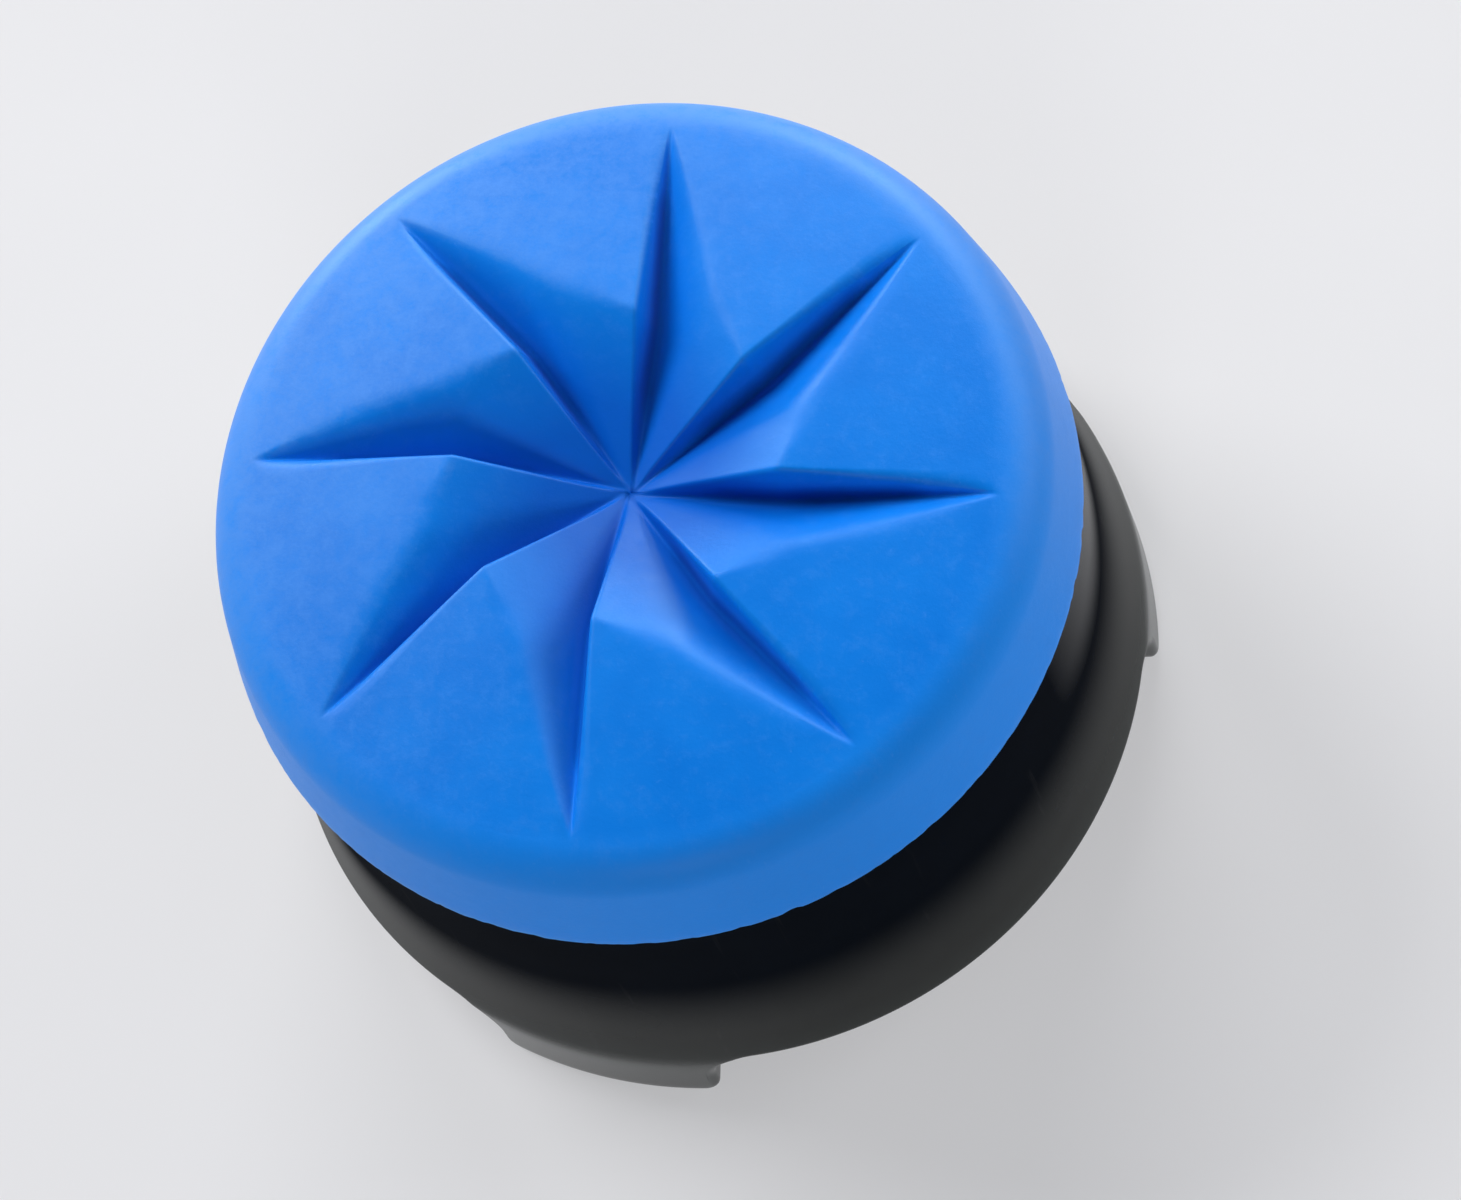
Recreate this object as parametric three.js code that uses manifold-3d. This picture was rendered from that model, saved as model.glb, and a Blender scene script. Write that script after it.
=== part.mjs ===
import * as THREE from "three";
import * as BufferGeometryUtils from "three/addons/utils/BufferGeometryUtils.js";
import Module from "manifold-3d";

// Clip-on thumb grip for a thumb stick: a rubber pad with a star tread on a stiff plastic clip base.
// Millimetres, +Z up. The origin is on the grip's axis, in the plane of the clip tabs' feet.
// The tread's first groove points along +Y, and the others follow clockwise as seen from above.

// Clip base: the socket goes over a stick's cap, and the outer wall follows the socket
const capRadius = 9.6;
const capClearance = 0.15;
const socketRadius = capRadius + capClearance;
const seatHeight = 5.4;
const wallThickness = 1.0;
const waistRadius = socketRadius + wallThickness;
const waistHeight = 7.2;
const flareReach = 0.59;
const rimRadius = waistRadius + flareReach;
const rimHeight = 2.2;
const footRound = 0.25;

// Clip base: tabs and the snap beads inside them
const tabCount = 3;
const tabAngle = 30.5;
const firstTabAzimuth = 20.4;
const archCornerRadius = 1.2;
const beadReach = 0.4;
const beadHeight = 0.75;
const beadRise = 0.55;

// Clip base: floor and cup that hold the pad
const floorThickness = 1.5;
const cupWall = 1.3;
const cupRadius = waistRadius - cupWall;
const cupDepth = 3.47;
const baseTopRound = 0.2;
const keyCount = 6;
const keyCircleRadius = 5.6;
const keyHoleRadius = 1.3;
const keyPocketRadius = 2.1;
const keyPocketDepth = 0.7;
const keyHeadThickness = 0.55;

// Rubber pad: it overhangs the base's top, which it rests on
const padOverhang = 0.25;
const padBottomRadius = waistRadius + padOverhang;
const padLowerRound = 0.15;
const flankAngle = 8;
const shoulderRound = 1.4;
const stemClearance = 0.1;
const keyClearance = 0.1;

// Tread: grooves that run out on the domed face
const grooveCount = 8;
const grooveTipInset = 1.32;
const grooveTipRadius = padBottomRadius - grooveTipInset;
const grooveTipRise = 3.63;
const domeRadius = 37.6;
const hubDepth = 1.08;
const landCornerRadius = 4.1;
const landCornerAngle = 0.9;
const facetCornerRadius = 5.16;
const facetCornerAngle = 21;
const grooveBottomRadius = 4.1;
const grooveBottomOffset = 0.32;

// Cutters reach this far past what they cut.
const cutMargin = 2;

// Mesh fineness
const roundSteps = 96;
const holeSteps = 20;
const filletSteps = 5;
const flareSteps = 8;
const domeSteps = 10;

const wasm = await Module();
wasm.setup();

const radians = THREE.MathUtils.degToRad;
const floorTop = seatHeight + floorThickness;
const padBottomHeight = floorTop + cupDepth;
const grooveTipHeight = padBottomHeight + grooveTipRise;
const domeCentreHeight = grooveTipHeight - Math.sqrt(domeRadius ** 2 - grooveTipRadius ** 2);

// Height of the domed face at a distance from the axis.
function domeHeight(radius) {
  return domeCentreHeight + Math.sqrt(domeRadius ** 2 - radius ** 2);
}

// Turns a closed three.js geometry into a solid that can be joined and cut.
function solid(geometry) {
  const bare = geometry.index ? geometry.toNonIndexed() : geometry.clone();
  bare.deleteAttribute("normal");
  bare.deleteAttribute("uv");
  const merged = BufferGeometryUtils.mergeVertices(bare, 1e-4);
  return new wasm.Manifold(new wasm.Mesh({
    numProp: 3,
    vertProperties: merged.attributes.position.array,
    triVerts: new Uint32Array(merged.index.array),
  }));
}

// Turns a solid back into a geometry with flat faces.
function geometryOf(body) {
  const mesh = body.getMesh();
  const geometry = new THREE.BufferGeometry();
  geometry.setAttribute("position", new THREE.BufferAttribute(new Float32Array(mesh.vertProperties), 3));
  geometry.setIndex(new THREE.BufferAttribute(new Uint32Array(mesh.triVerts), 1));
  const flat = geometry.toNonIndexed();
  flat.computeVertexNormals();
  return flat;
}

// Solid of revolution about Z from profile points [radius, height], in order with the solid on their left.
function turned(profile, steps = roundSteps) {
  const points = profile.map(([radius, height]) => new THREE.Vector2(radius, height));
  return solid(new THREE.LatheGeometry(points, steps).rotateX(Math.PI / 2));
}

// Upright cylinder between two heights, at a place in plan.
function post(radius, bottom, top, x, y) {
  const geometry = new THREE.CylinderGeometry(radius, radius, top - bottom, holeSteps);
  geometry.rotateX(Math.PI / 2);
  geometry.translate(x, y, (bottom + top) / 2);
  return solid(geometry);
}

// Points along a circular arc in the profile plane, angles in degrees from the outward direction.
function arc(centreRadius, centreHeight, radius, fromAngle, toAngle, steps) {
  const points = [];
  for (let i = 0; i <= steps; i++) {
    const angle = radians(fromAngle + ((toAngle - fromAngle) * i) / steps);
    points.push([centreRadius + radius * Math.cos(angle), centreHeight + radius * Math.sin(angle)]);
  }
  return points;
}

// Places of the keys that hold the pad down, around the axis.
function keyPlaces() {
  const places = [];
  for (let i = 0; i < keyCount; i++) {
    const angle = (2 * Math.PI * i) / keyCount;
    places.push([keyCircleRadius * Math.cos(angle), keyCircleRadius * Math.sin(angle)]);
  }
  return places;
}

// Outer wall from foot to top: upright tab face, then a hollow flare that ends upright at the waist.
function baseOuterProfile() {
  const flareWidth = rimRadius - waistRadius;
  const flareHeight = waistHeight - rimHeight;
  const flareRadius = (flareWidth ** 2 + flareHeight ** 2) / (2 * flareWidth);
  const flareAngle = (180 / Math.PI) * Math.asin(flareHeight / flareRadius);
  return [
    ...arc(rimRadius - footRound, footRound, footRound, -90, 0, filletSteps),
    ...arc(waistRadius + flareRadius, waistHeight, flareRadius, 180 + flareAngle, 180, flareSteps),
    ...arc(waistRadius - baseTopRound, padBottomHeight - baseTopRound, baseTopRound, 0, 90, filletSteps),
  ];
}

// Closed section of the base: cup above the floor, socket below it, snap bead near the foot.
function baseProfile() {
  const beadRadius = socketRadius - beadReach;
  return [
    [0, seatHeight],
    [socketRadius, seatHeight],
    [socketRadius, beadHeight + beadRise],
    [beadRadius, beadHeight + beadRise / 4],
    [beadRadius, beadHeight - beadRise / 4],
    [socketRadius, 0],
    ...baseOuterProfile(),
    [cupRadius, padBottomHeight],
    [cupRadius, floorTop],
    [0, floorTop],
  ];
}

// Upright block over a stretch of angle, wide enough to cut right through the base's wall.
function wallBlock(fromAngle, toAngle, top) {
  const inner = socketRadius - beadReach - cutMargin;
  const outer = rimRadius + cutMargin;
  const shape = new THREE.Shape();
  shape.absarc(0, 0, outer, radians(fromAngle), radians(toAngle), false);
  shape.absarc(0, 0, inner, radians(toAngle), radians(fromAngle), true);
  const depth = top + cutMargin;
  const geometry = new THREE.ExtrudeGeometry(shape, { depth, bevelEnabled: false, curveSegments: 24 });
  return solid(geometry.translate(0, 0, -cutMargin));
}

// Cylinder through the wall that rounds the upper corner of an arch.
function archCorner(azimuth) {
  const inner = socketRadius - beadReach - cutMargin;
  const outer = rimRadius + cutMargin;
  const geometry = new THREE.CylinderGeometry(archCornerRadius, archCornerRadius, outer - inner, holeSteps);
  geometry.rotateZ(Math.PI / 2);
  geometry.translate((inner + outer) / 2, 0, rimHeight - archCornerRadius);
  geometry.rotateZ(radians(azimuth));
  return solid(geometry);
}

// Opening in the wall between two neighbouring clip tabs.
function arch(fromAngle, toAngle) {
  const cornerAngle = (180 / Math.PI) * (archCornerRadius / rimRadius);
  return wallBlock(fromAngle, toAngle, rimHeight - archCornerRadius)
    .add(wallBlock(fromAngle + cornerAngle, toAngle - cornerAngle, rimHeight))
    .add(archCorner(fromAngle + cornerAngle))
    .add(archCorner(toAngle - cornerAngle));
}

function clipBase() {
  let body = turned(baseProfile());
  const pitch = 360 / tabCount;
  for (let i = 0; i < tabCount; i++) {
    const azimuth = firstTabAzimuth + pitch * i;
    body = body.subtract(arch(azimuth + tabAngle / 2, azimuth + pitch - tabAngle / 2));
  }
  for (const [x, y] of keyPlaces()) {
    body = body
      .subtract(post(keyHoleRadius, seatHeight - cutMargin, floorTop + cutMargin, x, y))
      .subtract(post(keyPocketRadius, seatHeight - cutMargin, seatHeight + keyPocketDepth, x, y));
  }
  return body;
}

// Section of the pad: stem in the cup, leaning flank, rounded shoulder and domed face.
function padProfile() {
  const lean = Math.tan(radians(flankAngle));
  const stemRadius = cupRadius - stemClearance;
  // The rounding's centre lies one radius inside both the dome and the flank.
  const offsetDome = domeRadius - shoulderRound;
  const flankInset = shoulderRound / Math.cos(radians(flankAngle));
  let centreHeight = grooveTipHeight;
  let centreRadius = 0;
  for (let i = 0; i < 20; i++) {
    centreRadius = padBottomRadius - (centreHeight - padBottomHeight) * lean - flankInset;
    centreHeight = domeCentreHeight + Math.sqrt(offsetDome ** 2 - centreRadius ** 2);
  }
  const shoulderAngle = 90 - (180 / Math.PI) * Math.asin(centreRadius / offsetDome);
  return [
    [0, floorTop],
    [stemRadius, floorTop],
    [stemRadius, padBottomHeight],
    ...arc(padBottomRadius - padLowerRound, padBottomHeight + padLowerRound, padLowerRound, -90, 0, 3),
    ...arc(centreRadius, centreHeight, shoulderRound, flankAngle, shoulderAngle, filletSteps + 3),
    ...arc(0, domeCentreHeight, domeRadius, shoulderAngle, 90, domeSteps).slice(1),
  ];
}

// One tread sector's corners, at a clockwise angle: groove tip, groove bottom, facet corner, land corner.
function treadCorners(azimuth) {
  const hub = grooveTipHeight - hubDepth;
  const place = (clockwise, radius, height) => {
    const angle = radians(90 - azimuth - clockwise);
    return new THREE.Vector3(radius * Math.cos(angle), radius * Math.sin(angle), height);
  };
  // The long facet is the plane through the hub, the groove tip and the facet corner.
  const across = facetCornerRadius * Math.sin(radians(facetCornerAngle));
  const along = facetCornerRadius * Math.cos(radians(facetCornerAngle));
  const climb = hubDepth / grooveTipRadius;
  const slope = (domeHeight(facetCornerRadius) - hub - climb * along) / across;
  const bottomAngle = (180 / Math.PI) * Math.atan2(grooveBottomOffset, grooveBottomRadius);
  const bottomHeight = hub + climb * grooveBottomRadius + slope * grooveBottomOffset;
  return {
    tip: place(0, grooveTipRadius, grooveTipHeight),
    bottom: place(bottomAngle, Math.hypot(grooveBottomOffset, grooveBottomRadius), bottomHeight),
    facet: place(facetCornerAngle, facetCornerRadius, domeHeight(facetCornerRadius)),
    land: place(landCornerAngle, landCornerRadius, domeHeight(landCornerRadius)),
  };
}

// Star-shaped cutter: each groove's steep wall, long facet and inner facet, closed by a lid above the dome.
function treadCutter() {
  const overshoot = 1.12;
  const hub = new THREE.Vector3(0, 0, grooveTipHeight - hubDepth);
  const lid = new THREE.Vector3(0, 0, domeHeight(0) + 2 * cutMargin);
  const beyond = (from, point) => point.clone().sub(from).multiplyScalar(overshoot).add(from);
  const sectors = [];
  for (let i = 0; i < grooveCount; i++) {
    const { tip, bottom, facet, land } = treadCorners((360 / grooveCount) * i);
    sectors.push({ bottom, tip: beyond(bottom, tip), facet: beyond(hub, facet), land: beyond(hub, land) });
  }
  const triangles = [];
  sectors.forEach(({ tip, bottom, facet, land }, i) => {
    const next = sectors[(i + 1) % grooveCount];
    triangles.push([hub, land, bottom], [bottom, land, tip]);
    triangles.push([hub, bottom, facet], [bottom, tip, facet]);
    triangles.push([hub, facet, next.land]);
    triangles.push([lid, tip, land], [lid, facet, tip], [lid, next.land, facet]);
  });
  return solid(new THREE.BufferGeometry().setFromPoints(triangles.flat()));
}

// Rubber key that passes through the base's floor and widens in the pocket under it.
function padKey(x, y) {
  const pocketTop = seatHeight + keyPocketDepth;
  return post(keyHoleRadius - keyClearance, pocketTop - keyHeadThickness, floorTop + cupDepth / 2, x, y)
    .add(post(keyPocketRadius - keyClearance, pocketTop - keyHeadThickness, pocketTop, x, y));
}

function gripPad() {
  let body = turned(padProfile()).subtract(treadCutter());
  for (const [x, y] of keyPlaces()) {
    body = body.add(padKey(x, y));
  }
  return body;
}

function named(name, body, look) {
  const mesh = new THREE.Mesh(geometryOf(body), new THREE.MeshStandardMaterial(look));
  mesh.name = name;
  return mesh;
}

const thumbGrip = new THREE.Group();
thumbGrip.add(named("clip_base", clipBase(), { color: 0x1b1d1e, roughness: 0.42, metalness: 0 }));
thumbGrip.add(named("grip_pad", gripPad(), { color: 0x1f6fe0, roughness: 0.62, metalness: 0 }));

export default thumbGrip;
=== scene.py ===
import math

import bpy
import numpy as np
from mathutils import Matrix, Vector, noise


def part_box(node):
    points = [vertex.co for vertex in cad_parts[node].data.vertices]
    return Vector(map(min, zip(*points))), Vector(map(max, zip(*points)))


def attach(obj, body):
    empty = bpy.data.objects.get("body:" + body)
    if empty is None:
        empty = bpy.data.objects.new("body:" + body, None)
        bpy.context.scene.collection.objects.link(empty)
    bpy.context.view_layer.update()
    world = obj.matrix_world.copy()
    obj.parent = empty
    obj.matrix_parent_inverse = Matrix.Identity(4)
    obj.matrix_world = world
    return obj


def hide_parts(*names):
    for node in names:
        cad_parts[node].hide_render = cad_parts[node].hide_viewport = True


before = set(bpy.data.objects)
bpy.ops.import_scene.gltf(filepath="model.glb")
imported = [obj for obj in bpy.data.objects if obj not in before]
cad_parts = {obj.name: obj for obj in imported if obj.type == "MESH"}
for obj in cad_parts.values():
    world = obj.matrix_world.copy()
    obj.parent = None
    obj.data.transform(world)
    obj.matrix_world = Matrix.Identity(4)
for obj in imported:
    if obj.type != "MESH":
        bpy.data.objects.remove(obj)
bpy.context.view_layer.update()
MM = 0.001


def node_size(node):
    """Radius, lowest and highest point of a round node, in millimetres."""
    low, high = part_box(node)
    return (high[0] - low[0]) / 2 / MM, low[2] / MM, high[2] / MM


# Sizes taken from the frame
PAD_RADIUS, KEY_BOTTOM, _ = node_size("grip_pad")
RIM_RADIUS, FOOT_HEIGHT, PAD_BOTTOM = node_size("clip_base")

# Clip base, millimetres
SOCKET_RADIUS = 9.75
SEAT_HEIGHT = 5.4
SEAT_CORNER = 0.3
BEAD_REACH = 0.4
BEAD_HEIGHT = 0.75
BEAD_RISE = 0.55
RIM_HEIGHT = 2.2
WAIST_RADIUS = 10.75
WAIST_HEIGHT = 7.2
TAB_COUNT = 3
TAB_ANGLE = 30.5
FIRST_TAB_AZIMUTH = 20.4
ARCH_CORNER = 1.2
FOOT_CORNER = 0.45
OUTER_EDGE_ROUND = 0.22
INNER_EDGE_ROUND = 0.12
CUP_RADIUS = 9.45
FLOOR_TOP = 6.9
BASE_TOP_ROUND = 0.2
KEY_COUNT = 6
KEY_CIRCLE = 5.6
KEY_HOLE = 1.3
KEY_POCKET = 2.1
KEY_POCKET_DEPTH = 0.7
CLEARANCE = 0.1

# Rubber pad, millimetres
FLANK_ANGLE = math.radians(8)
SHOULDER_ROUND = 1.4
PAD_LOWER_ROUND = 0.15
GROOVE_COUNT = 8
TIP_RADIUS = 9.68
TIP_HEIGHT = 14.0
DOME_RADIUS = 37.6
HUB_DEPTH = 1.08
LAND_CORNER_RADIUS = 4.1
LAND_CORNER_ANGLE = math.radians(0.9)
FACET_CORNER_RADIUS = 5.16
FACET_CORNER_ANGLE = math.radians(21)
BOTTOM_RADIUS = 4.1
BOTTOM_OFFSET = 0.32

SECTOR = 2 * math.pi / GROOVE_COUNT
HUB = TIP_HEIGHT - HUB_DEPTH
DOME_CENTRE = TIP_HEIGHT - math.sqrt(DOME_RADIUS**2 - TIP_RADIUS**2)

# Rounding of the tread's edges, millimetres: tight along the walls, wider away from them
EDGE_SOFTNESS = 0.07
FACET_SOFTNESS = 0.34
SOFT_START = 0.35
SOFT_SPREAD = 0.3
BLUR_STEPS = 10
BLUR_RINGS = ((0.5, 0.9), (1.0, 0.65), (1.6, 0.3))
VALLEY_ROUND = 0.5
RIDGE_OVERLAP = 1e-4
LEAST_RADIUS = 1e-6
EDGE_SEARCH_START = 0.0005
EDGE_SEARCH_STEPS = 400
SHOULDER_TRIES = 20

# The dark band of painted shade in the grooves' bottoms, millimetres
CREASE_WALL = 0.3
CREASE_FACET = 0.6
CREASE_TIP_FADE = 2.5
CREASE_HUB_START = 0.3
CREASE_HUB_FADE = 2.2
CREASE_DEPTH = 1

# Nicks and flash on the pad's lower edge, millimetres, and how many waves a radian takes
RAGGED_WIDTH = 0.6
RAGGED_FADE = 0.5
RAGGED_LIFT = 0.03
RAGGED_WAVES = ((7, 0.03), (31, 0.03), (53, 0.035))
NICK_WAVES = 17
NICK_SHIFT = Vector((3, 1, 7))
NICK_START = 0.28
NICK_DEPTH = 0.2
RAGGED_INSET = 0.02
RAGGED_NICK_SHARE = 0.3
RAGGED_WAVE_SHARE = 0.5

# Mesh columns around the pad, in each of its sectors, and rings from the hub outward
COLUMNS = 64
WALL_COLUMNS = 9
FACET_COLUMNS = 34
LEAST_WALL_ANGLE = math.radians(0.6)
LEAST_FACET_ANGLE = math.radians(3)
HUB_START = 0.06
HUB_END = 1.0
HUB_RINGS = 14
FACE_START = 1.08
FACE_RINGS = 114
FACE_GAP = 0.09
TIP_MARGIN = 0.02
LOOSE_WIDTH = 0.5
LOOSE_DEPTH = 0.5
LEAST_LOOSENESS = 0.4

# Mesh of the base, millimetres
COLUMN_STEP = 0.1
POLE_RADIUS = 0.4
CUP_CORNER = 0.2
CUP_FLAT_GAP = 0.3
CUP_TOP_LOOP = 0.1
FLARE_GAP = 0.5
SEAT_GAP = 0.8
STRIP_TOP = RIM_HEIGHT + 1.4
SMOOTH_REACH = 1.6
FLAT_SHARES = (0.33, 0.67, 1.0)
SMOOTH_ANGLE = math.radians(32)
TREAD_SMOOTH_ANGLE = math.radians(70)
POST_STEPS = 48
KEY_POLE_RADIUS = 0.3
KEY_HEAD_ROUND = 0.12
KEY_MOUTH_BEVEL = 0.08
KEY_TOOL_OVERLAP = 1
KEY_JOIN_DEPTH = 0.5

# The camera of the photograph: where it stands from the middle of the groove tips' circle
PHOTO_WIDTH = 1461
CAMERA_TILT = math.radians(24.559)
CAMERA_AZIMUTH = math.radians(-57.069)
CAMERA_ROLL = math.radians(28.173)
CAMERA_DISTANCE = 193.5
CAMERA_RIGHT = 2.677
CAMERA_UP = -3.026
FOCAL_PIXELS = 7836.5
SENSOR_WIDTH = 36
NEAR_CLIP = 0.01

# Blue rubber, linear colours
RUBBER_CLOUDS = ((0.0, 0.180, 0.72), (0.002, 0.205, 0.775))
# Painted light: the flank gets a paler blue than the face, standing in for the light that falls on it.
RUBBER_FLANK_LIGHT = (0.012, 0.245, 0.84)
# Painted highlight: a paler colour laid on the face toward one side.
RUBBER_FACE_HIGHLIGHT = (0.15, 0.30, 0.70)
# Painted highlight: a paler colour laid on the shoulder and flank toward one side.
RUBBER_SHOULDER_HIGHLIGHT = (0.13, 0.31, 0.78)
RUBBER_MOTTLE = (0.03, 0.24, 0.80)
RUBBER_SPECKS = (0.10, 0.32, 0.84)
# Painted shade: a deeper blue laid on the tread the further it lies below the dome.
RUBBER_GROOVE_SHADE = (0.0, 0.110, 0.56)
# Painted shade: a dark blue laid along the grooves' bottoms.
RUBBER_CREASE_SHADE = (0.0, 0.045, 0.32)
RUBBER_ROUGHNESS = (0.38, 0.50, 1.0)
RUBBER_GLOSS = 0.1
FLANK_START = 9.3
FLANK_FULL = 10.5
DEPTH_SPAN = 2
DEPTH_RIM_FADE = 0.4
# Where the painted highlight on the face lies.
FACE_HIGHLIGHT_AZIMUTH = math.radians(150)
FACE_HIGHLIGHT_STRETCH = (-3, 11)
# Where the painted highlight on the shoulder lies.
SHOULDER_HIGHLIGHT_AZIMUTH = math.radians(100)
SHOULDER_HIGHLIGHT_STRETCH = (-4, 7)

# Black plastic, linear colours
# The base's colours are painted: near-black at the waist as shade under the pad, grey down the flare and on
# the feet as reflection of the pale surroundings.
PLASTIC_WAIST_SHADE = ((0.0014, 0.0028, 0.0056), (0.0024, 0.0042, 0.0078))
PLASTIC_FLARE_REFLECTION = ((0.014, 0.016, 0.015), (0.020, 0.022, 0.021))
PLASTIC_FEET_REFLECTION = (0.045, 0.050, 0.048)
PLASTIC_SCRATCHES = (0.06, 0.06, 0.06)
PLASTIC_ROUGHNESS = (0.45, 0.55)
PLASTIC_COAT_ROUGHNESS = 0.25
FLARE_COAT = (0.03, 0.45)
FLARE_SPAN = (WAIST_HEIGHT - 0.6, RIM_HEIGHT + 0.9)
FEET_SPAN = (RIM_HEIGHT + 1.2, RIM_HEIGHT - 0.8)
POLISH_AZIMUTH = math.radians(20)
POLISH_COAT = 0.75
POLISH_STRETCH = (8.5, 11)
POLISH_SPAN = (WAIST_HEIGHT - 1.2, WAIST_HEIGHT + 1.2)

# Floor and surroundings, linear colours
FLOOR_HALF = 900
FLOOR_CLOUDS = ((0.72, 0.72, 0.74), (0.76, 0.76, 0.78))
FLOOR_ROUGHNESS = 0.7
GLOW_COLOUR = (0.84, 0.84, 0.86)
FLOOR_GLOW = 0.47
AMBIENT_COLOUR = (0.92, 0.95, 1.0)
AMBIENT = 0.145

# Lamps: bearing in the picture and elevation in degrees, distance and size in millimetres, power in watts
LAMPS = {
    "key": (142, 42, 780, 420, 4.6),
    "top": (98, 36, 780, 450, 2.8),
    "rim": (25, 17, 780, 390, 2.5),
    "fill": (-85, 20, 780, 290, 1.7),
}

# Lamps that only gloss sees, in place of the bright surroundings that the rubber mirrors
WINDOWS = {
    "window_right": (50, 33, 780, 330, 4.5),
    "window_far": (80, 14, 780, 330, 8.1),
    "window_left": (126, 8, 780, 200, 6.3),
}
WINDOW_COLOUR = (0.7, 0.95, 1.0)


# Camera

def make_camera():
    """The photograph's camera. Returns the picture's directions to the right and up."""
    tilt, azimuth = CAMERA_TILT, CAMERA_AZIMUTH
    back = Vector((math.sin(tilt) * math.cos(azimuth), math.sin(tilt) * math.sin(azimuth), math.cos(tilt)))
    level = Vector((-math.sin(azimuth), math.cos(azimuth), 0))
    upward = back.cross(level)
    right = math.cos(CAMERA_ROLL) * level - math.sin(CAMERA_ROLL) * upward
    up = math.sin(CAMERA_ROLL) * level + math.cos(CAMERA_ROLL) * upward
    target = Vector((0, 0, TIP_HEIGHT))
    place = target + CAMERA_DISTANCE * back + CAMERA_RIGHT * right + CAMERA_UP * up
    turn = Matrix((right, up, back)).transposed().to_4x4()
    data = bpy.data.cameras.new("photo_camera")
    data.sensor_width = SENSOR_WIDTH
    data.lens = SENSOR_WIDTH * FOCAL_PIXELS / PHOTO_WIDTH
    data.clip_start = NEAR_CLIP
    camera = bpy.data.objects.new("photo_camera", data)
    camera.matrix_world = Matrix.Translation(place * MM) @ turn
    bpy.context.scene.collection.objects.link(camera)
    bpy.context.scene.camera = camera
    return right, up


# Helpers for meshes

def mesh_object(name, points, faces):
    """An object in the scene, from points in millimetres."""
    data = bpy.data.meshes.new(name)
    data.from_pydata((np.asarray(points) * MM).tolist(), [], faces)
    data.update()
    piece = bpy.data.objects.new(name, data)
    bpy.context.scene.collection.objects.link(piece)
    return piece


def shade(piece, sharp=SMOOTH_ANGLE):
    """Smooth shading, with the edges left sharp where faces meet at more than an angle."""
    data = piece.data
    data.polygons.foreach_set("use_smooth", [True] * len(data.polygons))
    data.set_sharp_from_angle(angle=sharp)
    data.update()


def closed_rows(rows):
    """Points and faces of a closed surface from rings of equal length, with a pole before and after them."""
    steps = len(rows[0])
    points = np.concatenate(rows)
    first, last = rows[0].mean(axis=0), rows[-1].mean(axis=0)
    faces = []
    for i in range(len(rows) - 1):
        low, high = i * steps, (i + 1) * steps
        for j in range(steps):
            k = (j + 1) % steps
            faces.append((low + j, low + k, high + k, high + j))
    start, end = len(points), len(points) + 1
    top = (len(rows) - 1) * steps
    for j in range(steps):
        k = (j + 1) % steps
        faces.append((start, k, j))
        faces.append((end, top + j, top + k))
    return np.vstack([points, first, last]), faces


def arc(centre, radius, start, stop, steps):
    """Profile points (radius, height) along a circular arc, angles in radians from the outward direction."""
    angles = np.linspace(start, stop, steps + 1)
    return [(centre[0] + radius * math.cos(a), centre[1] + radius * math.sin(a)) for a in angles]


def line(start, stop, steps):
    """Profile points from start to stop, without the first."""
    way = np.subtract(stop, start)
    return [tuple(np.add(start, np.multiply(way, i / steps))) for i in range(1, steps + 1)]


def cut_or_join(piece, tool, operation):
    """Cuts the tool out of the piece or joins it on, and keeps the result as the piece's own mesh."""
    modifier = piece.modifiers.new("boolean", "BOOLEAN")
    modifier.operation = operation
    modifier.solver = "MANIFOLD"
    modifier.object = tool
    bpy.context.view_layer.update()
    graph = bpy.context.evaluated_depsgraph_get()
    data = bpy.data.meshes.new_from_object(piece.evaluated_get(graph))
    piece.modifiers.clear()
    old, piece.data = piece.data, data
    data.name = piece.name
    bpy.data.meshes.remove(old)
    bpy.data.objects.remove(tool)


def posts(name, profile):
    """One solid of revolution per key place, joined in one object."""
    points, faces = [], []
    for i in range(KEY_COUNT):
        turn = 2 * math.pi * i / KEY_COUNT
        angles = np.linspace(0, 2 * math.pi, POST_STEPS, endpoint=False)
        rows = [np.stack([KEY_CIRCLE * math.cos(turn) + r * np.cos(angles),
                          KEY_CIRCLE * math.sin(turn) + r * np.sin(angles),
                          np.full(POST_STEPS, z)], axis=1) for r, z in profile]
        more, shape = closed_rows(rows)
        faces += [tuple(len(points) + v for v in face) for face in shape]
        points += more.tolist()
    return mesh_object(name, points, faces)


# Rubber pad

def plane(*corners):
    """Height c + p * across + q * along of the plane through three local points."""
    rows = np.array([(1.0, across, along) for across, along, _ in corners])
    return np.linalg.solve(rows, np.array([height for _, _, height in corners]))


def dome(radius):
    """Height of the unbroken face at distances from the axis."""
    return DOME_CENTRE + np.sqrt(DOME_RADIUS**2 - np.minimum(radius, DOME_RADIUS / 2) ** 2)


def dome_point(radius, angle):
    """Local across, along and height of a point on the dome."""
    return radius * math.sin(angle), radius * math.cos(angle), float(dome(radius))


def tread_planes():
    """Planes of one tread sector: long facet, inner facet and the two halves of the groove's steep wall."""
    hub = (0.0, 0.0, HUB)
    tip = (0.0, TIP_RADIUS, TIP_HEIGHT)
    facet = dome_point(FACET_CORNER_RADIUS, FACET_CORNER_ANGLE)
    land = dome_point(LAND_CORNER_RADIUS, LAND_CORNER_ANGLE)
    next_land = dome_point(LAND_CORNER_RADIUS, SECTOR + LAND_CORNER_ANGLE)
    long_facet = plane(hub, tip, facet)
    bottom = (BOTTOM_OFFSET, BOTTOM_RADIUS, long_facet @ (1.0, BOTTOM_OFFSET, BOTTOM_RADIUS))
    return long_facet, plane(hub, facet, next_land), plane(hub, land, bottom), plane(land, bottom, tip)


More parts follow.
